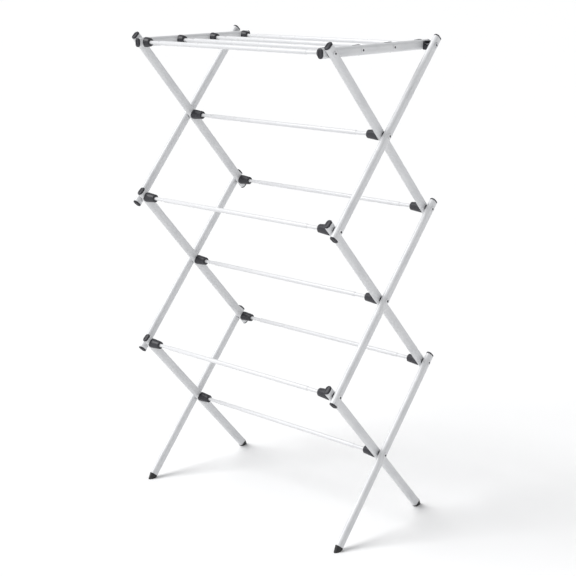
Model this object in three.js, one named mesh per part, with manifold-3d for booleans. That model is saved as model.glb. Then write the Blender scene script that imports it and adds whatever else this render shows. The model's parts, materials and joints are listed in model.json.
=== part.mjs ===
// Folding clothes drying rack. Three scissor tiers of flat-oval tube carry round hanging rods,
// and a lift-up shelf of four rods hooks over two pins at the back to hold the rack open.
// Millimetres. +X runs along the rods, -Y is the front and +Z is up. The origin is on the
// floor, midway between the four feet.

import * as THREE from 'three';
import { mergeVertices } from 'three/addons/utils/BufferGeometryUtils.js';
import Module from 'manifold-3d';

const wasm = await Module();
wasm.setup();

// ---------------------------------------------------------------- driving dimensions

const rackWidth = 588; // across the outer faces of the outer legs
const pivotDepth = 300; // from the front pivots to the back pivots
const tierHeight = 340; // from one pivot level to the next
const tiers = ['bottom', 'middle', 'top'];
const sides = [['left', -1], ['right', 1]];

const tubeWidth = 20; // flat-oval tube, across the side of the rack
const tubeThickness = 13; // the same tube, along the rods
const tubeWall = 0.8;
const tubeOverhang = 18; // from an end pivot to the cut end of its tube

const legGap = 2; // room for the washer between outer and inner legs
const railGap = 1.2; // room for the washer between inner leg and shelf rail

const rodDiameter = 9.5; // rods are tubes, drawn down at each end
const rodWall = 0.7;
const neckDiameter = 7.6; // reduced end of a rod
const neckShown = 31; // length of neck between the connector and the full diameter
const neckChamfer = 1;
const axleDiameter = 6; // part of a rod that passes through the tubes
const headDiameter = 11; // peened head on the end of an axle
const headHeight = 1.8;

const scissorConnectorLength = 26;
const shelfConnectorLength = 13;
const connectorMouth = 17.4; // diameter around the rod
const connectorRoot = 21.6; // diameter against the tube
const mouthRound = 0.6;
const connectorWrap = 3; // how far the connector's lips reach round the tube
const connectorCollar = 1.5; // straight part between the tube's face and the taper

const footSole = 2; // least thickness under the tube's cut end
const footProud = 0.4; // how far the foot stands out past the tube's outline
const footPlug = 15; // part of the foot inside the tube
const footTaper = 0.24; // narrowing of the foot for each millimetre below the tube

const latchDiameter = 7; // pin that the hook drops over
const latchReach = 11.6; // how far the pin stands out of the outer leg
const hookPlate = 3.5; // web between the hook's seat and the shelf rail
const hookFront = 6; // reach in front of the latch pin
const hookBack = 16; // reach behind the latch pin
const hookBelow = 10.5;
const hookAbove = 8;
const hookCorner = 2.5;
const hookGrooves = 3;
const grooveWidth = 1.2;
const grooveDepth = 0.9;
const groovePitch = 3.2;
const grooveMargin = 4; // from a groove's end to the edge of the hook

const capThickness = 4.5; // end cap flange
const capPlug = 10; // end cap plug inside the tube

const fit = 0.3; // clearance between touching pieces
const seatBackGap = 0.5; // behind the latch pin
const seatFrontGap = 2; // ahead of the latch pin, for its arc as the rack folds

const arcSteps = 5; // facets on each round edge of a tube
const cornerSteps = 2; // facets on each rounded corner
const turnedSteps = 12; // facets round a rod, a connector or a pin
const boreSteps = 8;

// ---------------------------------------------------------------- derived places

const lean = Math.atan2(pivotDepth, tierHeight); // tilt of the legs from vertical
const halfLeg = Math.hypot(pivotDepth, tierHeight) / 2; // from crossing to end pivot
const outerLegX = (rackWidth - tubeThickness) / 2;
const innerLegX = outerLegX - tubeThickness - legGap;
const railX = innerLegX - tubeThickness - railGap;
const halfTube = tubeThickness / 2;
const shelfZ = tierHeight * tiers.length;
const tubeFootEnd = (footSole + (tubeWidth / 2) * Math.sin(lean)) / Math.cos(lean);

// ---------------------------------------------------------------- materials

const finishes = {
  frame: { color: 0xebedf0, roughness: 0.38, metalness: 0.15 },
  rod: { color: 0xe8eaee, roughness: 0.35, metalness: 0.1 },
  plastic: { color: 0x3c3c44, roughness: 0.5, metalness: 0 },
  foot: { color: 0x1e1e22, roughness: 0.75, metalness: 0 },
  pin: { color: 0x9a9ca0, roughness: 0.35, metalness: 0.9 },
};

const rack = new THREE.Group();

// Adds one named piece to the rack.
function addPiece(name, geometry, finish, position, tilt = 0, spin = 0) {
  const mesh = new THREE.Mesh(geometry, new THREE.MeshStandardMaterial(finishes[finish]));
  mesh.name = name;
  mesh.position.set(...position);
  mesh.rotation.set(tilt, 0, spin);
  rack.add(mesh);
}

// ---------------------------------------------------------------- solids

// Closed geometry as a solid that can be joined and cut.
function toSolid(geometry) {
  const bare = geometry.index ? geometry.toNonIndexed() : geometry.clone();
  bare.deleteAttribute('normal');
  bare.deleteAttribute('uv');
  const merged = mergeVertices(bare, 1e-4);
  const corners = merged.index.array;
  const triangles = [];
  for (let i = 0; i < corners.length; i += 3) {
    const [a, b, c] = corners.slice(i, i + 3);
    if (a !== b && b !== c && c !== a) triangles.push(a, b, c);
  }
  return new wasm.Manifold(
    new wasm.Mesh({
      numProp: 3,
      vertProperties: new Float32Array(merged.attributes.position.array),
      triVerts: new Uint32Array(triangles),
    }),
  );
}

// Solid back to geometry for a mesh.
function toGeometry(solid) {
  const mesh = solid.getMesh();
  const geometry = new THREE.BufferGeometry();
  const corners = new Float32Array(mesh.vertProperties);
  geometry.setAttribute('position', new THREE.BufferAttribute(corners, 3));
  geometry.setIndex(new THREE.BufferAttribute(new Uint32Array(mesh.triVerts), 1));
  geometry.computeVertexNormals();
  return geometry;
}

// Stadium outline centred on the origin, with its long side along Y.
function stadium(thickness, width) {
  const radius = thickness / 2;
  const straight = width / 2 - radius;
  const shape = new THREE.Shape();
  shape.absarc(0, straight, radius, 0, Math.PI, false);
  shape.absarc(0, -straight, radius, Math.PI, 2 * Math.PI, false);
  shape.closePath();
  return shape;
}

// Rectangle from low to high with rounded corners.
function roundedRectangle(lowX, lowY, highX, highY, radius) {
  const shape = new THREE.Shape();
  shape.absarc(highX - radius, lowY + radius, radius, -Math.PI / 2, 0, false);
  shape.absarc(highX - radius, highY - radius, radius, 0, Math.PI / 2, false);
  shape.absarc(lowX + radius, highY - radius, radius, Math.PI / 2, Math.PI, false);
  shape.absarc(lowX + radius, lowY + radius, radius, Math.PI, 1.5 * Math.PI, false);
  shape.closePath();
  return shape;
}

// Extrusion of an outline in XY from one Z to another.
function extrudeZ(shape, low, high, curveSegments = arcSteps) {
  const options = { depth: high - low, bevelEnabled: false, curveSegments };
  return new THREE.ExtrudeGeometry(shape, options).translate(0, 0, low);
}

// The same with the outline in YZ and the extrusion along X.
function extrudeX(shape, low, high) {
  const turn = new THREE.Matrix4().makeBasis(
    new THREE.Vector3(0, 1, 0),
    new THREE.Vector3(0, 0, 1),
    new THREE.Vector3(1, 0, 0),
  );
  return extrudeZ(shape, low, high, cornerSteps).applyMatrix4(turn);
}

// Turned piece about the X axis. Its [radius, x] points start and end on the axis, or close.
function turned(profile) {
  const points = profile.map(([radius, x]) => new THREE.Vector2(radius, x));
  return new THREE.LatheGeometry(points, turnedSteps).rotateZ(-Math.PI / 2);
}

// Cutter along X, at the given height, for a hole that a pin of the given diameter turns in.
function crossBore(pinDiameter, reach, height = 0) {
  const radius = (pinDiameter / 2 + fit) / Math.cos(Math.PI / boreSteps);
  const cutter = new THREE.CylinderGeometry(radius, radius, 2 * reach, boreSteps);
  return toSolid(cutter.rotateZ(Math.PI / 2).translate(0, 0, height));
}

// ---------------------------------------------------------------- tubes

// Outline that slides inside the tube.
function plugOutline() {
  const inset = 2 * (tubeWall + fit);
  return stadium(tubeThickness - inset, tubeWidth - inset);
}

// Flat-oval tube along Z, drilled through for an axle at each given height.
function tubeGeometry(low, high, bores) {
  const outline = stadium(tubeThickness, tubeWidth);
  outline.holes.push(stadium(tubeThickness - 2 * tubeWall, tubeWidth - 2 * tubeWall));
  let tube = toSolid(extrudeZ(outline, low, high));
  for (const height of bores) {
    tube = tube.subtract(crossBore(axleDiameter, tubeThickness, height));
  }
  return toGeometry(tube);
}

function addLegs() {
  const end = halfLeg + tubeOverhang;
  const upperLeg = tubeGeometry(-end, end, [-halfLeg, 0, halfLeg]);
  const footLeg = tubeGeometry(tubeFootEnd - halfLeg, end, [0, halfLeg]);
  tiers.forEach((tier, level) => {
    const geometry = level === 0 ? footLeg : upperLeg;
    const crossing = tierHeight * (level + 0.5);
    for (const [sideName, side] of sides) {
      addPiece(`leg_${tier}_inner_${sideName}`, geometry, 'frame',
        [side * innerLegX, 0, crossing], lean);
      addPiece(`leg_${tier}_outer_${sideName}`, geometry, 'frame',
        [side * outerLegX, 0, crossing], -lean);
    }
  });
}

// ---------------------------------------------------------------- feet

// Wedge under the cut end of a leg with a plug inside the tube, in the leg's own frame with
// the crossing at the origin. Its sole lies in the floor once the leg tilts by the given angle.
function footGeometry(tilt) {
  const top = tubeFootEnd - halfLeg - fit;
  const drop = 1.4 * tubeWidth;
  const outline = stadium(tubeThickness + 2 * footProud, tubeWidth + 2 * footProud);
  const block = extrudeZ(outline, -drop, 0);
  const places = block.attributes.position;
  for (let i = 0; i < places.count; i += 1) {
    const share = 1 + (2 * footTaper * places.getZ(i)) / tubeWidth;
    places.setXY(i, share * places.getX(i), share * places.getY(i));
  }
  const wedge = toSolid(block.translate(0, 0, top));
  const plug = toSolid(extrudeZ(plugOutline(), top - footSole / 2, top + fit + footPlug));
  const floorBlock = new THREE.BoxGeometry(4 * tubeWidth, 8 * tubeWidth, 4 * tubeWidth);
  floorBlock.translate(0, 0, -2 * tubeWidth);
  floorBlock.rotateX(-tilt);
  floorBlock.translate(0, 0, -halfLeg);
  return toGeometry(wedge.add(plug).subtract(toSolid(floorBlock)));
}

function addFeet() {
  const crossing = tierHeight / 2;
  const backFoot = footGeometry(lean);
  const frontFoot = footGeometry(-lean);
  for (const [sideName, side] of sides) {
    addPiece(`foot_back_${sideName}`, backFoot, 'foot', [side * innerLegX, 0, crossing], lean);
    addPiece(`foot_front_${sideName}`, frontFoot, 'foot', [side * outerLegX, 0, crossing], -lean);
  }
}

// ---------------------------------------------------------------- rods and connectors

// Tubular rod along X. From the centre outwards it has its full diameter, a neck, an axle and,
// if it is riveted over, a head. The bore runs right through and follows the outside.
function rodGeometry({ mouthX, shoulderX, endX, headed }) {
  const stepX = mouthX - neckShown;
  const neck = neckDiameter / 2;
  const axle = axleDiameter / 2;
  const outside = [
    [rodDiameter / 2, stepX - neckChamfer],
    [neck, stepX],
    [neck, shoulderX],
    [axle, shoulderX],
    [axle, endX],
  ];
  if (headed) {
    outside.push([headDiameter / 2, endX], [headDiameter / 3, endX + headHeight]);
  }
  const bore = [
    [axle - rodWall, outside.at(-1)[1]],
    [axle - rodWall, shoulderX - rodWall],
    [neck - rodWall, shoulderX - rodWall],
    [neck - rodWall, stepX],
    [rodDiameter / 2 - rodWall, stepX - neckChamfer],
  ];
  const half = [...outside, ...bore];
  const mirrored = half.map(([radius, x]) => [radius, -x]).reverse();
  return turned([...half, ...mirrored, half[0]]);
}

// Plastic connector that sits on a tube's face at the origin and tapers along +X. Its root
// laps round the edges of the tube, which runs along Z behind the origin.
function connectorGeometry(length) {
  const root = connectorRoot / 2;
  const mouth = connectorMouth / 2;
  const barrel = toSolid(
    turned([
      [0, -connectorWrap],
      [root, -connectorWrap],
      [root, connectorCollar],
      [mouth, length - mouthRound],
      [mouth - mouthRound, length],
      [0, length],
    ]),
  );
  const tubeOutline = stadium(tubeThickness + 2 * fit, tubeWidth + 2 * fit);
  const tube = toSolid(
    extrudeZ(tubeOutline, -connectorRoot, connectorRoot).translate(-halfTube, 0, 0),
  );
  const rodHole = crossBore(neckDiameter, 2 * length);
  return toGeometry(barrel.subtract(tube).subtract(rodHole));
}

// Rod at the given place with a connector on the tube at each end. tilt is that of the tubes.
function addRod(name, geometry, connector, faceX, y, z, tilt) {
  addPiece(`rod_${name}`, geometry, 'rod', [0, y, z]);
  for (const [sideName, side] of sides) {
    const spin = side > 0 ? Math.PI : 0;
    addPiece(`connector_${name}_${sideName}`, connector, 'plastic',
      [side * faceX, y, z], tilt, spin);
  }
}

function addScissorRods() {
  const faceX = innerLegX - halfTube;
  const rod = rodGeometry({
    mouthX: faceX - scissorConnectorLength,
    shoulderX: faceX - fit,
    endX: outerLegX + halfTube + fit,
    headed: true,
  });
  const connector = connectorGeometry(scissorConnectorLength);
  const place = (name, y, z) => addRod(name, rod, connector, faceX, y, z, lean);
  tiers.forEach((tier, level) => place(`${tier}_cross`, 0, tierHeight * (level + 0.5)));
  ['lower', 'upper'].forEach((name, level) => {
    place(`${name}_front`, -pivotDepth / 2, tierHeight * (level + 1));
    place(`${name}_back`, pivotDepth / 2, tierHeight * (level + 1));
  });
}

// ---------------------------------------------------------------- shelf

function addShelfRods() {
  const faceX = railX - halfTube;
  const connector = connectorGeometry(shelfConnectorLength);
  const ends = [
    { name: 'shelf_front', endX: innerLegX + halfTube + fit, headed: true },
    { name: 'shelf_second', endX: railX + halfTube + fit, headed: true },
    { name: 'shelf_third', endX: railX + halfTube + fit, headed: true },
    { name: 'shelf_back', endX: railX + halfTube + hookPlate, headed: false },
  ];
  ends.forEach(({ name, endX, headed }, index) => {
    const y = pivotDepth * (index / (ends.length - 1) - 0.5);
    const mouthX = faceX - shelfConnectorLength;
    const rod = rodGeometry({ mouthX, shoulderX: faceX - fit, endX, headed });
    addRod(name, rod, connector, faceX, y, shelfZ, Math.PI / 2);
  });
}

// Flange over a tube's end with a plug inside it, pointing along +Z from the tube's end.
function endCapGeometry() {
  const flange = stadium(tubeThickness, tubeWidth);
  const stem = toSolid(extrudeZ(plugOutline(), -capPlug, fit + capThickness / 2));
  return toGeometry(stem.add(toSolid(extrudeZ(flange, fit, fit + capThickness))));
}

function addRails() {
  const end = pivotDepth / 2 + tubeOverhang;
  const bores = [-1 / 2, -1 / 6, 1 / 6, 1 / 2].map((share) => share * pivotDepth);
  const rail = tubeGeometry(-end, end, bores);
  const cap = endCapGeometry();
  for (const [sideName, side] of sides) {
    const x = side * railX;
    addPiece(`rail_${sideName}`, rail, 'frame', [x, 0, shelfZ], Math.PI / 2);
    addPiece(`rail_cap_front_${sideName}`, cap, 'plastic', [x, -end, shelfZ], Math.PI / 2);
    addPiece(`rail_cap_back_${sideName}`, cap, 'plastic', [x, end, shelfZ], -Math.PI / 2);
  }
}

// ---------------------------------------------------------------- hooks and latch pins

// Space that the latch pin passes through, in YZ about the pin: down as the shelf lifts, and
// forward and up, square to the outer leg, as the rack folds.
function latchPath() {
  const radius = latchDiameter / 2;
  const roof = radius + fit;
  const back = radius + seatBackGap;
  const front = radius + seatFrontGap;
  const far = 2 * (hookFront + hookBack);
  const roofZ = (y) => (roof - y * Math.sin(lean)) / Math.cos(lean);
  const floorZ = (y) => (-front - y * Math.sin(lean)) / Math.cos(lean);
  return new THREE.Shape([
    new THREE.Vector2(back, -far),
    new THREE.Vector2(back, roofZ(back)),
    new THREE.Vector2(-far, roofZ(-far)),
    new THREE.Vector2(-far, floorZ(-far)),
    new THREE.Vector2(-front, floorZ(-front)),
    new THREE.Vector2(-front, -far),
  ]);
}

// Hook block for one side, about the latch pin's axis, with x from the rail's outer face.
function hookGeometry(side) {
  const outline = roundedRectangle(-hookFront, -hookBelow, hookBack, hookAbove, hookCorner);
  const thickness = railGap + tubeThickness;
  const along = (shape, low, high) =>
    toSolid(side > 0 ? extrudeX(shape, low, high) : extrudeX(shape, -high, -low));
  let hook = along(outline, fit, thickness);
  hook = hook.subtract(along(latchPath(), hookPlate + fit, 2 * thickness));
  hook = hook.subtract(crossBore(axleDiameter, 2 * thickness));
  const grooveHeight = hookBelow + hookAbove - 2 * grooveMargin;
  for (let index = 1; index <= hookGrooves; index += 1) {
    const groove = new THREE.BoxGeometry(2 * grooveDepth, grooveWidth, grooveHeight);
    const y = hookBack - groovePitch * index;
    groove.translate(side * thickness, y, (hookAbove - hookBelow) / 2);
    hook = hook.subtract(toSolid(groove));
  }
  return toGeometry(hook);
}

// Stepped pin riveted through the top of an outer leg, along +X from the leg's inner face.
function latchPinGeometry() {
  const tip = -latchReach;
  const headX = tubeThickness + fit;
  return turned([
    [0, tip],
    [latchDiameter / 2 - neckChamfer, tip],
    [latchDiameter / 2, tip + neckChamfer],
    [latchDiameter / 2, -fit],
    [axleDiameter / 2, -fit],
    [axleDiameter / 2, headX],
    [headDiameter / 2, headX],
    [headDiameter / 3, headX + headHeight],
    [0, headX + headHeight],
  ]);
}

function addLatches() {
  const y = pivotDepth / 2;
  const pin = latchPinGeometry();
  for (const [sideName, side] of sides) {
    const spin = side > 0 ? 0 : Math.PI;
    addPiece(`hook_${sideName}`, hookGeometry(side), 'plastic',
      [side * (railX + halfTube), y, shelfZ]);
    addPiece(`latch_pin_${sideName}`, pin, 'pin',
      [side * (outerLegX - halfTube), y, shelfZ], 0, spin);
  }
}

// ---------------------------------------------------------------- assembly

addLegs();
addFeet();
addScissorRods();
addShelfRods();
addRails();
addLatches();

export default rack;
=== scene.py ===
import json
import math

import bmesh
import bpy
from mathutils import Matrix, Vector


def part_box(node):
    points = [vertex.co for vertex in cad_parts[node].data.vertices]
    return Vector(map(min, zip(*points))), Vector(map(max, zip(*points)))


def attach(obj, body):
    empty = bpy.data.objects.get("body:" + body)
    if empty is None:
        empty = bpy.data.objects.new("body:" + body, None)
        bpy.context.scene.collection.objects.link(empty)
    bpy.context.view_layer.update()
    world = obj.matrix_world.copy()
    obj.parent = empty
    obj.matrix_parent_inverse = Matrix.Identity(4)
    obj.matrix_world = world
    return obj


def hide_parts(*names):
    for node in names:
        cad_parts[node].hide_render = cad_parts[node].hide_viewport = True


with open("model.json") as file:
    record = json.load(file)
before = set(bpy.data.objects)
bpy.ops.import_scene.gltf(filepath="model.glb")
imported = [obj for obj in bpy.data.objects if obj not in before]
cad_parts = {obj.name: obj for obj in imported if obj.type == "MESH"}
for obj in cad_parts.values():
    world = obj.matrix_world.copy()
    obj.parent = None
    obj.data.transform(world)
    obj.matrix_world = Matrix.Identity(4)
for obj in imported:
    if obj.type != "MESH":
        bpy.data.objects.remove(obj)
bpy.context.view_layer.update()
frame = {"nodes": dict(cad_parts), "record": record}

# Folding clothes drying rack: fine tubes, rods, connectors, caps and washers around the CAD frame.
# Metres. +X runs along the rods, -Y is the front and +Z is up.

MM = 0.001

# ------------------------------------------------------------------ sizes that the eye needs

TUBE_WALL = 0.8 * MM
TUBE_LIP = 0.25 * MM  # rounding at a tube's cut end
ROD_DIAMETER = 9.5 * MM
NECK_DIAMETER = 7.6 * MM
NECK_SHOWN = 31 * MM
NECK_CHAMFER = 0.9 * MM
AXLE_DIAMETER = 6 * MM
HEAD_DIAMETER = 11 * MM
HEAD_HEIGHT = 1.8 * MM
RIVET_HOLE = 4.2 * MM
ROD_WALL = 0.7 * MM
PIN_DIAMETER = 7 * MM
PIN_CHAMFER = 0.9 * MM
TURNED_ROUND = 0.3 * MM  # rounding of the edges of rods and pins
FIT = 0.3 * MM

CONNECTOR_MOUTH = 17.4 * MM
CONNECTOR_ROOT = 21.6 * MM
CONNECTOR_WRAP = 3 * MM
CONNECTOR_COLLAR = 1.5 * MM
CONNECTOR_ROUND = 0.9 * MM
MOULDED_ROUND = 0.35 * MM  # rounding of the sharper edges of connectors and hooks

CAP_PLUG = 10 * MM
CAP_LEAD = 1.2 * MM  # length of the narrowing at the plug's end
CAP_ROUND = 0.25 * MM  # rounding of the edge against the tube
CAP_SIDE = 1.8 * MM  # height of the straight side above the tube's end
CAP_DOME = 2.4 * MM
CAP_CROWN = 3.6 * MM  # from the outline in to the recess
CAP_RECESS = 0.9 * MM
CAP_RECESS_STEP = 0.3 * MM  # rounding of the recess's edge
FOOT_PROUD = 0.4 * MM
FOOT_SHOULDER = 0.6 * MM  # rounding of the edge against the tube
FOOT_PLUG = 15 * MM
FOOT_LEAD = 1 * MM
FOOT_ROUND = 0.9 * MM
FOOT_TAPER = 0.24  # narrowing for each millimetre below the tube
FOOT_DROP = 1.4  # in tube widths: the wedge's length before the floor trims it
PLUG_NARROWING = 0.8 * MM
WASHER_DIAMETER = 15 * MM
WASHER_ROUND = 0.35 * MM

ARC_STEPS = 12
SEAT_ARC_STEPS = 20
ROUND_STEPS = 40
BARREL_STEPS = 56
BORE_STEPS = 28
DOME_STEPS = 5
FOOT_STEPS = 8

MERGE_DISTANCE = 1e-7
WELD_DISTANCE = 1e-5
NOISE_MIDDLE = (0.3, 0.7)  # where most of a noise pattern's values lie

TIERS = ("bottom", "middle", "top")
SIDES = (("left", -1), ("right", 1))
SCISSOR_RODS = (
    "bottom_cross", "middle_cross", "top_cross",
    "lower_front", "lower_back", "upper_front", "upper_back",
)
SHELF_RODS = ("shelf_front", "shelf_second", "shelf_third", "shelf_back")

# ------------------------------------------------------------------ places from the frame

body_of_node = {
    node: body
    for body, nodes in frame["record"]["behaviour"]["bodies"].items()
    for node in nodes
}


def middle(node):
    """The centre of a CAD node's box."""
    low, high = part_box(node)
    return (low + high) / 2


depth = middle("rod_lower_back").y - middle("rod_lower_front").y
tier_height = middle("rod_upper_front").z - middle("rod_lower_front").z
lean = math.atan2(depth, tier_height)
tube_low, tube_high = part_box("rail_right")
tube_thickness = tube_high.x - tube_low.x
tube_width = tube_high.z - tube_low.z


def leg_frame(node):
    """The leg's own frame: its Z along the tube, and its origin at the crossing."""
    tier, where = node.split("_")[1:3]
    crossing = middle(f"rod_{tier}_cross")
    tilt = lean if where == "inner" else -lean
    place = Matrix.Translation((middle(node).x, crossing.y, crossing.z))
    return place @ Matrix.Rotation(tilt, 4, "X")


def rail_frame(node):
    """The rail's own frame: its Z runs forward, along the tube."""
    return Matrix.Translation(middle(node)) @ Matrix.Rotation(math.pi / 2, 4, "X")


def axis_frame(node, sign=1):
    """A frame on the line of a rod or pin, turned round for the left side."""
    centre = middle(node)
    turn = Matrix.Rotation(0 if sign > 0 else math.pi, 4, "Z")
    return Matrix.Translation((0, centre.y, centre.z)) @ turn


def legs_of(side):
    """The names of a side's legs, each with its tier."""
    return [(f"{tier}_{where}_{side}", tier) for tier in TIERS for where in ("inner", "outer")]


def ends(node, place):
    """Where a tube starts and ends along Z of its own frame."""
    inverse = place.inverted()
    levels = [(inverse @ v.co).z for v in frame["nodes"][node].data.vertices]
    return min(levels), max(levels)


def end_frames(place, low, high):
    """Frames at a tube's upper and lower ends, each with its Z pointing out of the tube."""
    turned = Matrix.Translation((0, 0, low)) @ Matrix.Rotation(math.pi, 4, "X")
    return place @ Matrix.Translation((0, 0, high)), place @ turned


# ------------------------------------------------------------------ materials


def shader(name, colour, roughness, **inputs):
    """A Principled material, with its nodes, its shader and its object coordinates."""
    material = bpy.data.materials.new(name)
    material.use_nodes = True
    tree = material.node_tree
    principled = tree.nodes["Principled BSDF"]
    principled.inputs["Base Color"].default_value = (*colour, 1)
    principled.inputs["Roughness"].default_value = roughness
    for socket, value in inputs.items():
        principled.inputs[socket.replace("_", " ")].default_value = value
    place = tree.nodes.new("ShaderNodeTexCoord").outputs["Object"]
    return material, tree, principled, place


def pattern(tree, place, scale, detail=3.0, stretch=(1, 1, 1)):
    """A noise pattern, in cycles per metre, stretched along an axis."""
    mapping = tree.nodes.new("ShaderNodeMapping")
    mapping.inputs["Scale"].default_value = stretch
    tree.links.new(place, mapping.inputs["Vector"])
    noise = tree.nodes.new("ShaderNodeTexNoise")
    noise.inputs["Scale"].default_value = scale
    noise.inputs["Detail"].default_value = detail
    tree.links.new(mapping.outputs["Vector"], noise.inputs["Vector"])
    return noise.outputs["Fac"]


def ramp(tree, value, stops):
    """Colours or greys along a value."""
    node = tree.nodes.new("ShaderNodeValToRGB")
    node.color_ramp.elements[0].position = stops[0][0]
    node.color_ramp.elements[0].color = (*stops[0][1], 1)
    node.color_ramp.elements[1].position = stops[-1][0]
    node.color_ramp.elements[1].color = (*stops[-1][1], 1)
    for position, colour in stops[1:-1]:
        node.color_ramp.elements.new(position).color = (*colour, 1)
    tree.links.new(value, node.inputs["Fac"])
    return node.outputs["Color"]


def spread(tree, value, low, high):
    """The value's middle part, stretched between two numbers."""
    node = tree.nodes.new("ShaderNodeMapRange")
    node.inputs["From Min"].default_value = NOISE_MIDDLE[0]
    node.inputs["From Max"].default_value = NOISE_MIDDLE[1]
    node.inputs["To Min"].default_value = low
    node.inputs["To Max"].default_value = high
    tree.links.new(value, node.inputs["Value"])
    return node.outputs["Result"]


def bump(tree, principled, layers):
    """Bumps, one over another: each layer is a value, its strength and its height."""
    normal = None
    for value, strength, height in layers:
        node = tree.nodes.new("ShaderNodeBump")
        node.inputs["Strength"].default_value = strength
        node.inputs["Distance"].default_value = height
        tree.links.new(value, node.inputs["Height"])
        if normal is not None:
            tree.links.new(normal, node.inputs["Normal"])
        normal = node.outputs["Normal"]
    tree.links.new(normal, principled.inputs["Normal"])


def powder_coat():
    """White powder paint on the tubes: faint cloudiness, orange peel and a soft gloss."""
    material, tree, principled, place = shader(
        "powder_white", (0.66, 0.665, 0.68), 0.36, Coat_Weight=0.15, Coat_Roughness=0.22)
    cloud = pattern(tree, place, 14, 4)
    colour = ramp(tree, cloud, [
        (0.3, (0.61, 0.617, 0.632)), (0.52, (0.675, 0.681, 0.693)), (0.75, (0.645, 0.651, 0.663)),
    ])
    tree.links.new(colour, principled.inputs["Base Color"])
    scuff = pattern(tree, place, 180, 5, (1, 1, 0.12))
    tree.links.new(spread(tree, scuff, 0.31, 0.43), principled.inputs["Roughness"])
    peel = pattern(tree, place, 620, 2)
    bump(tree, principled, [(peel, 0.3, 0.0004), (scuff, 0.1, 0.0003)])
    return material


def rod_coat():
    """White coated rods: glossier, with faint lines drawn along them."""
    material, tree, principled, place = shader(
        "coated_white", (0.71, 0.715, 0.73), 0.3, Coat_Weight=0.12, Coat_Roughness=0.2)
    drawn = pattern(tree, place, 420, 3, (0.04, 1, 1))
    colour = ramp(tree, drawn, [(0.3, (0.69, 0.695, 0.71)), (0.7, (0.735, 0.74, 0.75))])
    tree.links.new(colour, principled.inputs["Base Color"])
    mottle = pattern(tree, place, 60, 4)
    tree.links.new(spread(tree, mottle, 0.25, 0.37), principled.inputs["Roughness"])
    bump(tree, principled, [(drawn, 0.14, 0.0003)])
    return material


def moulded_plastic():
    """Charcoal plastic with a fine spark-eroded grain and slightly polished patches."""
    material, tree, principled, place = shader(
        "charcoal_moulded", (0.026, 0.026, 0.032), 0.45, Specular_IOR_Level=0.4)
    cloud = pattern(tree, place, 70, 4)
    colour = ramp(tree, cloud, [(0.3, (0.021, 0.021, 0.026)), (0.7, (0.034, 0.034, 0.041))])
    tree.links.new(colour, principled.inputs["Base Color"])
    tree.links.new(spread(tree, cloud, 0.34, 0.5), principled.inputs["Roughness"])
    grain = pattern(tree, place, 2600, 2)
    bump(tree, principled, [(grain, 0.22, 0.00025), (cloud, 0.05, 0.0005)])
    return material


def rubber():
    """Black rubber feet, dull and faintly dusty towards the floor."""
    material, tree, principled, place = shader("black_rubber", (0.016, 0.016, 0.018), 0.7)
    dust = pattern(tree, place, 90, 6)
    colour = ramp(tree, dust, [(0.35, (0.011, 0.011, 0.012)), (0.75, (0.032, 0.031, 0.031))])
    tree.links.new(colour, principled.inputs["Base Color"])
    tree.links.new(spread(tree, dust, 0.52, 0.78), principled.inputs["Roughness"])
    grain = pattern(tree, place, 1500, 3)
    bump(tree, principled, [(grain, 0.3, 0.0004)])
    return material


def turned_steel():
    """Bare steel pins with lines turned round them."""
    material, tree, principled, place = shader(
        "turned_steel", (0.56, 0.57, 0.59), 0.3, Metallic=1.0, Anisotropic=0.3)
    lines = pattern(tree, place, 2400, 2, (1, 0.03, 0.03))
    colour = ramp(tree, lines, [(0.3, (0.47, 0.48, 0.5)), (0.7, (0.63, 0.64, 0.66))])
    tree.links.new(colour, principled.inputs["Base Color"])
    tree.links.new(spread(tree, lines, 0.22, 0.4), principled.inputs["Roughness"])
    bump(tree, principled, [(lines, 0.12, 0.0002)])
    return material


def painted_bore_shade():
    """Painted shade inside the ends of the rods: steel darkened to stand in for the shade in the
    bores, dull and part metallic.
    """
    material, tree, principled, place = shader(
        "painted_bore_shade", (0.09, 0.09, 0.1), 0.6, Metallic=0.6)
    shade_mottle = pattern(tree, place, 700, 4)
    # The dark tones are painted shade, mottled at random.
    colour = ramp(tree, shade_mottle, [(0.3, (0.05, 0.05, 0.055)), (0.7, (0.12, 0.12, 0.13))])
    tree.links.new(colour, principled.inputs["Base Color"])
    tree.links.new(spread(tree, shade_mottle, 0.5, 0.75), principled.inputs["Roughness"])
    bump(tree, principled, [(shade_mottle, 0.2, 0.0002)])
    return material


# Painted shade for the faces inside the bores of rods and pins.
PAINTED_BORE_SHADE = painted_bore_shade()
MATERIALS = {
    "white_tube": powder_coat(),
    "white_rod": rod_coat(),
    "charcoal_plastic": moulded_plastic(),
    "black_foot": rubber(),
    "steel_pin": turned_steel(),
}

# ------------------------------------------------------------------ mesh building


def eased(mesh, sharp=35):
    """Smooth shading with sharp edges past an angle in degrees."""
    mesh.shade_smooth()
    mesh.set_sharp_from_angle(angle=math.radians(sharp))
    return mesh


def mesh_from(name, bm, sharp=35):
    """A mesh from bmesh work, with outward faces, shaded as eased says."""
    bmesh.ops.recalc_face_normals(bm, faces=bm.faces)
    mesh = bpy.data.meshes.new(name)
    bm.to_mesh(mesh)
    bm.free()
    return eased(mesh, sharp)


def stadium(thickness, width, steps):
    """Points round a stadium with its long side along Y."""
    radius = thickness / 2
    straight = width / 2 - radius
    points = []
    for start, shift in ((0, straight), (math.pi, -straight)):
        for step in range(steps + 1):
            angle = start + math.pi * step / steps
            points.append((radius * math.cos(angle), shift + radius * math.sin(angle)))
    return points


def inset_stadium(inset, level):
    """A ring of the tube's outline, moved in by inset, at a height."""
    outline = stadium(tube_thickness - 2 * inset, tube_width - 2 * inset, ARC_STEPS)
    return [(x, y, level) for x, y in outline]


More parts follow.
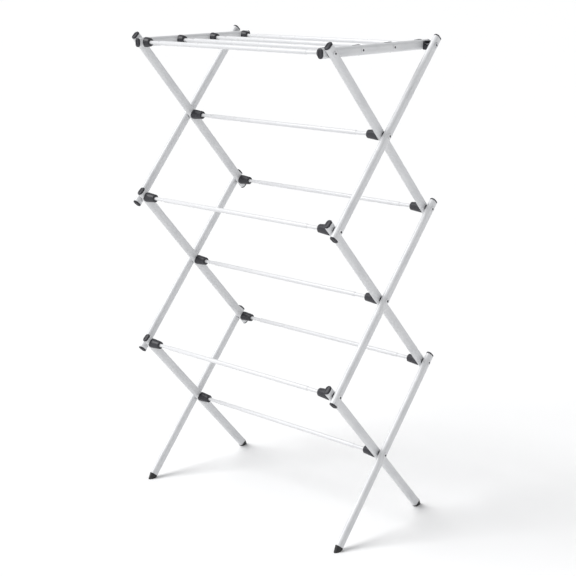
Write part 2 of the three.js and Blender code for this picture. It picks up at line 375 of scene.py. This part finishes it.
def skin(bm, one, two, around=True):
    """Faces between two rows of equal counts, all the way round or open."""
    count = len(one)
    for i in range(count if around else count - 1):
        j = (i + 1) % count
        bm.faces.new((one[i], one[j], two[j], two[i]))


def loft(rings, closed=False):
    """Skins rings of equal counts. An open skin is filled at both ends."""
    bm = bmesh.new()
    loops = [[bm.verts.new(point) for point in ring] for ring in rings]
    pairs = list(zip(loops, loops[1:]))
    if closed:
        pairs.append((loops[-1], loops[0]))
    for one, two in pairs:
        skin(bm, one, two)
    if not closed:
        bm.faces.new(loops[0])
        bm.faces.new(loops[-1])
    return bm


def rounded(points, radius, closed=False, steps=3):
    """The polyline with each corner eased over a length."""
    result = []
    count = len(points)
    for index, corner in enumerate(points):
        if not closed and index in (0, count - 1):
            result.append(corner)
            continue
        here = Vector(corner)
        before = Vector(points[index - 1]) - here
        after = Vector(points[(index + 1) % count]) - here
        start = here + before.normalized() * min(radius, before.length * 0.45)
        end = here + after.normalized() * min(radius, after.length * 0.45)
        for step in range(steps + 1):
            t = step / steps
            result.append(tuple(start * (1 - t) ** 2 + here * 2 * t * (1 - t) + end * t * t))
    return result


def lathe(profile, closed=False, steps=ROUND_STEPS):
    """Turns (x, radius) points about the X axis. An open profile starts and ends on the axis."""
    rings = []
    for step in range(steps):
        angle = 2 * math.pi * step / steps
        rings.append([(x, r * math.cos(angle), r * math.sin(angle)) for x, r in profile])
    bm = bmesh.new()
    loops = [[bm.verts.new(point) for point in ring] for ring in rings]
    for one, two in zip(loops, loops[1:] + loops[:1]):
        skin(bm, one, two, around=closed)
    bmesh.ops.remove_doubles(bm, verts=bm.verts, dist=MERGE_DISTANCE)
    return bm


def with_modifiers(mesh, settings):
    """The mesh after a list of (modifier type, its settings)."""
    holder = bpy.data.objects.new("holder", mesh)
    bpy.context.scene.collection.objects.link(holder)
    for kind, values in settings:
        modifier = holder.modifiers.new(kind.lower(), kind)
        for key, value in values.items():
            setattr(modifier, key, value)
    graph = bpy.context.evaluated_depsgraph_get()
    result = bpy.data.meshes.new_from_object(holder.evaluated_get(graph))
    result.name = mesh.name
    bpy.data.objects.remove(holder)
    return result


def cut_by(mesh, tools):
    """The mesh with other meshes taken out of it."""
    helpers = []
    for tool in tools:
        helper = bpy.data.objects.new("tool", tool)
        bpy.context.scene.collection.objects.link(helper)
        helpers.append(helper)
    settings = [
        ("BOOLEAN", {"operation": "DIFFERENCE", "solver": "EXACT", "object": helper})
        for helper in helpers
    ]
    result = with_modifiers(mesh, settings)
    for helper in helpers:
        bpy.data.objects.remove(helper)
    return result


def cross_bar(radius, reach, height=0.0):
    """A cutter along X at a height."""
    bm = lathe([(-reach, 0), (-reach, radius), (reach, radius), (reach, 0)], steps=BORE_STEPS)
    bmesh.ops.translate(bm, verts=bm.verts, vec=(0, 0, height))
    return mesh_from("cutter", bm)


def add_piece(name, mesh, slot, body, place, replaced=()):
    """A visible piece that rides on a body, wears its slot's material unless its mesh has one
    already, and may replace CAD nodes.
    """
    piece = bpy.data.objects.new(name, mesh)
    bpy.context.scene.collection.objects.link(piece)
    piece.matrix_world = place
    if not mesh.materials:
        mesh.materials.append(MATERIALS[slot])
    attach(piece, body)
    if replaced:
        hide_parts(*replaced)
    return piece


# ------------------------------------------------------------------ tubes


def tube_mesh(name, low, high, bores):
    """A flat-oval tube with eased ends, drilled through at each height."""
    rings = [
        inset_stadium(TUBE_LIP, low), inset_stadium(0, low + TUBE_LIP),
        inset_stadium(0, high - TUBE_LIP), inset_stadium(TUBE_LIP, high),
        inset_stadium(TUBE_WALL, high), inset_stadium(TUBE_WALL, low),
    ]
    mesh = mesh_from(name, loft(rings, closed=True))
    cutters = [cross_bar(AXLE_DIAMETER / 2 + FIT, tube_thickness, bore) for bore in bores]
    return eased(cut_by(mesh, cutters))


def build_tubes():
    """Legs and rails in place of the coarser CAD tubes."""
    half = math.hypot(depth, tier_height) / 2
    meshes = {}
    for side, _ in SIDES:
        for leg, tier in legs_of(side):
            node = f"leg_{leg}"
            place = leg_frame(node)
            footed = tier == "bottom"
            if footed not in meshes:
                low, high = ends(node, place)
                bores = [0, half] if footed else [-half, 0, half]
                meshes[footed] = tube_mesh(f"tube_{tier}", low, high, bores)
            add_piece(f"tube_{leg}", meshes[footed], "white_tube",
                      body_of_node[node], place, [node])
    low, high = ends("rail_right", rail_frame("rail_right"))
    rod_heights = [-middle(f"rod_{name}").y for name in SHELF_RODS]
    rail = tube_mesh("tube_rail", low, high, rod_heights)
    for side, _ in SIDES:
        node = f"rail_{side}"
        add_piece(f"shelf_rail_{side}", rail, "white_tube", body_of_node[node],
                  rail_frame(node), [node])


# ------------------------------------------------------------------ end caps and feet


def cap_mesh():
    """A domed end cap with a recess, pointing along +Z, and its plug in the tube."""
    gap = TUBE_WALL + FIT
    rings = [
        inset_stadium(gap + PLUG_NARROWING, -CAP_PLUG),
        inset_stadium(gap, -CAP_PLUG + CAP_LEAD),
        inset_stadium(gap, FIT),
        inset_stadium(CAP_ROUND, FIT),
        inset_stadium(0, FIT + CAP_ROUND),
        inset_stadium(0, CAP_SIDE),
    ]
    for step in range(1, DOME_STEPS + 1):
        angle = math.pi / 2 * step / DOME_STEPS
        level = CAP_SIDE + CAP_DOME * math.sin(angle)
        rings.append(inset_stadium(CAP_CROWN * (1 - math.cos(angle)), level))
    top = CAP_SIDE + CAP_DOME
    rings.append(inset_stadium(CAP_CROWN + CAP_RECESS_STEP, top - CAP_RECESS_STEP / 2))
    rings.append(inset_stadium(CAP_CROWN + 2 * CAP_RECESS_STEP, top - CAP_RECESS))
    return mesh_from("end_cap", loft(rings), sharp=50)


def build_caps():
    """Caps on the open ends of the legs, and finer ones on the rails."""
    cap = cap_mesh()
    for side, _ in SIDES:
        for leg, tier in legs_of(side):
            node = f"leg_{leg}"
            body = body_of_node[node]
            place = leg_frame(node)
            upper, lower = end_frames(place, *ends(node, place))
            add_piece(f"cap_{leg}_top", cap, "charcoal_plastic", body, upper)
            if tier != "bottom":
                add_piece(f"cap_{leg}_low", cap, "charcoal_plastic", body, lower)
        rail = f"rail_{side}"
        place = rail_frame(rail)
        for where, end in zip(("front", "back"), end_frames(place, *ends(rail, place))):
            node = f"rail_cap_{where}_{side}"
            add_piece(f"shelf_cap_{where}_{side}", cap, "charcoal_plastic",
                      body_of_node[node], end, [node])


def foot_mesh(name, low, tilt, floor_drop):
    """A rubber wedge between the tube's cut end and the floor, with its plug in the tube.
    low is the tube's end and floor_drop the floor's distance below the crossing."""
    gap = TUBE_WALL + FIT
    top = low - FIT
    drop = FOOT_DROP * tube_width
    rings = []
    for step in range(FOOT_STEPS, 0, -1):
        depth_here = drop * step / FOOT_STEPS
        share = 1 - 2 * FOOT_TAPER * depth_here / tube_width
        ring = inset_stadium(-FOOT_PROUD, top - depth_here)
        rings.append([(x * share, y * share, z) for x, y, z in ring])
    rings += [
        inset_stadium(-FOOT_PROUD, top - FOOT_SHOULDER),
        inset_stadium(0, top),
        inset_stadium(gap, top),
        inset_stadium(gap, top + FOOT_PLUG - FOOT_LEAD),
        inset_stadium(gap + PLUG_NARROWING, top + FOOT_PLUG),
    ]
    bm = loft(rings)
    to_leg = Matrix.Rotation(-tilt, 3, "X")
    up = to_leg @ Vector((0, 0, 1))
    cut = bmesh.ops.bisect_plane(
        bm, geom=bm.verts[:] + bm.edges[:] + bm.faces[:], dist=MERGE_DISTANCE,
        plane_co=up * -floor_drop, plane_no=up, clear_inner=True)
    rim = [item for item in cut["geom_cut"] if isinstance(item, bmesh.types.BMEdge)]
    bmesh.ops.contextual_create(bm, geom=rim)
    bmesh.ops.bevel(bm, geom=rim, offset=FOOT_ROUND, segments=2, profile=0.5,
                    affect="EDGES", clamp_overlap=True)
    return mesh_from(name, bm, sharp=45)


def build_feet():
    """Feet in place of the CAD ones."""
    for where, leg, tilt in (("front", "outer", -lean), ("back", "inner", lean)):
        sample = f"leg_bottom_{leg}_right"
        place = leg_frame(sample)
        low, _ = ends(sample, place)
        mesh = foot_mesh(f"foot_{where}", low, tilt, place.translation.z)
        for side, _ in SIDES:
            node = f"foot_{where}_{side}"
            add_piece(f"rubber_foot_{where}_{side}", mesh, "black_foot", body_of_node[node],
                      leg_frame(f"leg_bottom_{leg}_{side}"), [node])


# ------------------------------------------------------------------ rods, washers and pins


def rod_mesh(name, mouth, end, headed):
    """A hollow rod about X: full diameter, neck, axle, and a rolled rivet head or plain end."""
    step = mouth - NECK_SHOWN
    full = ROD_DIAMETER / 2
    neck = NECK_DIAMETER / 2
    axle = AXLE_DIAMETER / 2
    head = HEAD_DIAMETER / 2
    hole = RIVET_HOLE / 2
    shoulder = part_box(f"connector_{name}_right")[1].x - CONNECTOR_WRAP - FIT
    half = [(step - NECK_CHAMFER, full), (step, neck), (shoulder, neck), (shoulder, axle)]
    if headed:
        face = end - HEAD_HEIGHT
        half += [
            (face, axle), (face, head * 0.97), (face + HEAD_HEIGHT * 0.3, head),
            (face + HEAD_HEIGHT * 0.7, head * 0.88), (end, head * 0.66),
            (end - HEAD_HEIGHT * 0.12, head * 0.5), (end - HEAD_HEIGHT * 0.7, hole),
        ]
    else:
        half += [(end, axle), (end, hole)]
    half += [
        (shoulder - ROD_WALL, hole), (shoulder - ROD_WALL, neck - ROD_WALL),
        (step, neck - ROD_WALL), (step - NECK_CHAMFER, full - ROD_WALL),
    ]
    mirrored = [(-x, radius) for x, radius in reversed(half)]
    profile = rounded(half + mirrored, TURNED_ROUND, closed=True, steps=2)
    mesh = mesh_from(f"rod_{name}", lathe(profile, closed=True), sharp=40)
    mesh.materials.append(MATERIALS["white_rod"])
    # The second material is painted shade on the faces inside the bore.
    mesh.materials.append(PAINTED_BORE_SHADE)
    for face in mesh.polygons:
        in_bore = math.hypot(face.center.y, face.center.z) < hole + 0.1 * MM
        face.material_index = 1 if in_bore else 0
    return mesh


def build_rods():
    """Rods in place of the CAD ones."""
    for name in SCISSOR_RODS + SHELF_RODS:
        node = f"rod_{name}"
        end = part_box(node)[1].x
        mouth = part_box(f"connector_{name}_right")[0].x
        mesh = rod_mesh(name, mouth, end, name != "shelf_back")
        add_piece(f"hollow_rod_{name}", mesh, "white_rod", body_of_node[node],
                  axis_frame(node), [node])


def washer_mesh(low, high):
    """A washer between two tubes' faces, with room for the axle."""
    profile = [
        (low + FIT, AXLE_DIAMETER / 2 + FIT), (low + FIT, WASHER_DIAMETER / 2),
        (high - FIT, WASHER_DIAMETER / 2), (high - FIT, AXLE_DIAMETER / 2 + FIT),
    ]
    return mesh_from("washer", lathe(rounded(profile, WASHER_ROUND, closed=True), closed=True))


def build_washers():
    """Plastic washers in the gaps between the tubes at every turning axle."""
    inner_low, inner_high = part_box("leg_top_inner_right")
    outer_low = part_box("leg_top_outer_right")[0]
    scissor = washer_mesh(inner_high.x, outer_low.x)
    shelf = washer_mesh(tube_high.x, inner_low.x)
    for side, sign in SIDES:
        for name in SCISSOR_RODS + ("shelf_front",):
            node = f"rod_{name}"
            mesh = shelf if name == "shelf_front" else scissor
            add_piece(f"washer_{name}_{side}", mesh, "charcoal_plastic",
                      body_of_node[node], axis_frame(node, sign))


def build_pins():
    """Latch pins in place of the CAD ones, with domed heads and an eased tip."""
    low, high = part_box("latch_pin_right")
    outer_low, outer_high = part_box("leg_top_outer_right")
    radius = (high.z - low.z) / 2
    pin = PIN_DIAMETER / 2
    axle = AXLE_DIAMETER / 2
    bore_end = outer_high.x - tube_thickness / 2
    face = outer_high.x + FIT
    profile = [
        (low.x, 0), (low.x, pin - PIN_CHAMFER), (low.x + PIN_CHAMFER, pin),
        (outer_low.x - FIT, pin), (outer_low.x - FIT, axle), (face, axle),
        (face, radius * 0.98), (face + HEAD_HEIGHT * 0.35, radius),
        (face + HEAD_HEIGHT * 0.8, radius * 0.84), (high.x, radius * 0.64),
        (high.x - HEAD_HEIGHT * 0.12, radius * 0.5),
        (face, RIVET_HOLE / 2), (bore_end, RIVET_HOLE / 2), (bore_end, 0),
    ]
    mesh = mesh_from("latch_pin", lathe(rounded(profile, TURNED_ROUND, steps=2)), sharp=40)
    mesh.materials.append(MATERIALS["steel_pin"])
    mesh.materials.append(PAINTED_BORE_SHADE)
    # Painted shade inside the hook and in the drilled head: the dull dark steel material.
    for polygon in mesh.polygons:
        centre = polygon.center
        in_hook = centre.x < outer_low.x
        in_bore = centre.x > outer_low.x + FIT and math.hypot(centre.y, centre.z) < axle * 0.8
        polygon.material_index = 1 if in_hook or in_bore else 0
    for side, sign in SIDES:
        node = f"latch_pin_{side}"
        add_piece(f"steel_pin_{side}", mesh, "steel_pin", body_of_node[node],
                  axis_frame(node, sign), [node])


# ------------------------------------------------------------------ connectors


def connector_mesh(length):
    """A moulded barrel that tapers along +X from the tube's face, with lips round the tube."""
    root = CONNECTOR_ROOT / 2
    mouth = CONNECTOR_MOUTH / 2
    profile = rounded([
        (-CONNECTOR_WRAP, 0), (-CONNECTOR_WRAP, root), (CONNECTOR_COLLAR, root),
        (length, mouth), (length, 0),
    ], CONNECTOR_ROUND)
    barrel = mesh_from("barrel", lathe(profile, steps=BARREL_STEPS))
    outline = stadium(tube_thickness + 2 * FIT, tube_width + 2 * FIT, SEAT_ARC_STEPS)
    shift = -tube_thickness / 2
    rings = [
        [(x + shift, y, level) for x, y in outline]
        for level in (-CONNECTOR_ROOT, CONNECTOR_ROOT)
    ]
    tube = mesh_from("tube_cutter", loft(rings))
    hole = cross_bar(NECK_DIAMETER / 2 + FIT, 2 * length)
    socket = cut_by(barrel, [tube, hole])
    socket = with_modifiers(socket, [("BEVEL", {
        "width": MOULDED_ROUND, "segments": 2, "limit_method": "ANGLE",
        "angle_limit": math.radians(50), "use_clamp_overlap": True,
    })])
    return eased(socket)


def build_connectors():
    """Connectors in place of the CAD ones."""
    scissor_low, scissor_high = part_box("connector_top_cross_right")
    shelf_low, shelf_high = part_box("connector_shelf_front_right")
    meshes = {
        False: connector_mesh(scissor_high.x - scissor_low.x - CONNECTOR_WRAP),
        True: connector_mesh(shelf_high.x - shelf_low.x - CONNECTOR_WRAP),
    }
    for name in SCISSOR_RODS + SHELF_RODS:
        on_shelf = name in SHELF_RODS
        tilt = math.pi / 2 if on_shelf else lean
        for side, sign in SIDES:
            node = f"connector_{name}_{side}"
            low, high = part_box(node)
            face = high.x - CONNECTOR_WRAP if sign > 0 else low.x + CONNECTOR_WRAP
            centre = middle(f"rod_{name}")
            turn = Matrix.Rotation(math.pi if sign > 0 else 0, 4, "Z")
            place = (Matrix.Translation((face, centre.y, centre.z))
                     @ Matrix.Rotation(tilt, 4, "X") @ turn)
            add_piece(f"socket_{name}_{side}", meshes[on_shelf], "charcoal_plastic",
                      body_of_node[node], place, [node])


# ------------------------------------------------------------------ hooks


def finish_hooks():
    """The CAD hook blocks stay, with eased edges and the moulded plastic."""
    for side, _ in SIDES:
        hook = frame["nodes"][f"hook_{side}"]
        for slot in hook.material_slots:
            slot.material = MATERIALS["charcoal_plastic"]
        weld = hook.modifiers.new("weld", "WELD")
        weld.merge_threshold = WELD_DISTANCE
        ease = hook.modifiers.new("ease", "BEVEL")
        ease.width = MOULDED_ROUND
        ease.segments = 2
        ease.limit_method = "ANGLE"
        ease.angle_limit = math.radians(40)


# ------------------------------------------------------------------ studio

FLOOR_REACH = 120
SKY_COLOUR = (0.985, 0.99, 1, 1)
HORIZON_STRENGTH = 0.98
OVERHEAD_STRENGTH = 0.5
OVERHEAD_FROM = 0.4  # upward part of a direction where the sky's fall ends

KEY_STRENGTH = 2.5
KEY_WIDTH = math.radians(35)
KEY_FROM = Vector((-0.5, -0.55, 0.85))

CAMERA_PLACE = (1.8309, -1.9881, 1.2016)
CAMERA_AZIMUTH = math.radians(42.361)
CAMERA_ELEVATION = math.radians(14.811)
CAMERA_ROLL = math.radians(-0.361)
CAMERA_LENS = 78.98
CAMERA_SENSOR = 36


def build_floor(scene):
    """A pale floor that reaches the horizon."""
    bm = bmesh.new()
    corners = [
        bm.verts.new((x * FLOOR_REACH, y * FLOOR_REACH, 0))
        for x, y in ((-1, -1), (1, -1), (1, 1), (-1, 1))
    ]
    bm.faces.new(corners)
    floor = bpy.data.objects.new("floor", mesh_from("floor", bm))
    scene.collection.objects.link(floor)
    material, tree, principled, place = shader("pale_floor", (0.9, 0.9, 0.9), 0.85)
    cloud = pattern(tree, place, 3, 2)
    tone = ramp(tree, cloud, [(0.3, (0.915, 0.915, 0.915)), (0.7, (0.925, 0.925, 0.927))])
    tree.links.new(tone, principled.inputs["Base Color"])
    floor.data.materials.append(material)


def build_sky(scene):
    """A white sky, bright at the horizon and dimmer overhead."""
    world = bpy.data.worlds.new("studio")
    world.use_nodes = True
    tree = world.node_tree
    background = tree.nodes["Background"]
    background.inputs["Color"].default_value = SKY_COLOUR
    direction = tree.nodes.new("ShaderNodeTexCoord").outputs["Generated"]
    split = tree.nodes.new("ShaderNodeSeparateXYZ")
    fall = tree.nodes.new("ShaderNodeMapRange")
    fall.interpolation_type = "SMOOTHSTEP"
    fall.inputs["From Min"].default_value = 0.0
    fall.inputs["From Max"].default_value = OVERHEAD_FROM
    fall.inputs["To Min"].default_value = HORIZON_STRENGTH
    fall.inputs["To Max"].default_value = OVERHEAD_STRENGTH
    tree.links.new(direction, split.inputs["Vector"])
    tree.links.new(split.outputs["Z"], fall.inputs["Value"])
    tree.links.new(fall.outputs["Result"], background.inputs["Strength"])
    scene.world = world


def build_key(scene):
    """Soft light from the front left and above."""
    key = bpy.data.lights.new("key", "SUN")
    key.energy = KEY_STRENGTH
    key.angle = KEY_WIDTH
    key_object = bpy.data.objects.new("key", key)
    key_object.rotation_euler = KEY_FROM.to_track_quat("Z", "Y").to_euler()
    scene.collection.objects.link(key_object)


def build_camera(scene):
    """The photo's camera."""
    camera = bpy.data.cameras.new("camera")
    camera.lens = CAMERA_LENS
    camera.sensor_width = CAMERA_SENSOR
    camera_object = bpy.data.objects.new("camera", camera)
    turn = (Matrix.Rotation(CAMERA_AZIMUTH, 4, "Z")
            @ Matrix.Rotation(math.pi / 2 - CAMERA_ELEVATION, 4, "X")
            @ Matrix.Rotation(CAMERA_ROLL, 4, "Z"))
    camera_object.matrix_world = Matrix.Translation(CAMERA_PLACE) @ turn
    scene.collection.objects.link(camera_object)
    scene.camera = camera_object


def build_studio():
    """The floor, the light and the camera."""
    scene = bpy.context.scene
    scene.view_settings.view_transform = "Standard"
    build_floor(scene)
    build_sky(scene)
    build_key(scene)
    build_camera(scene)


build_studio()
build_tubes()
build_caps()
build_feet()
build_rods()
build_washers()
build_pins()
build_connectors()
finish_hooks()
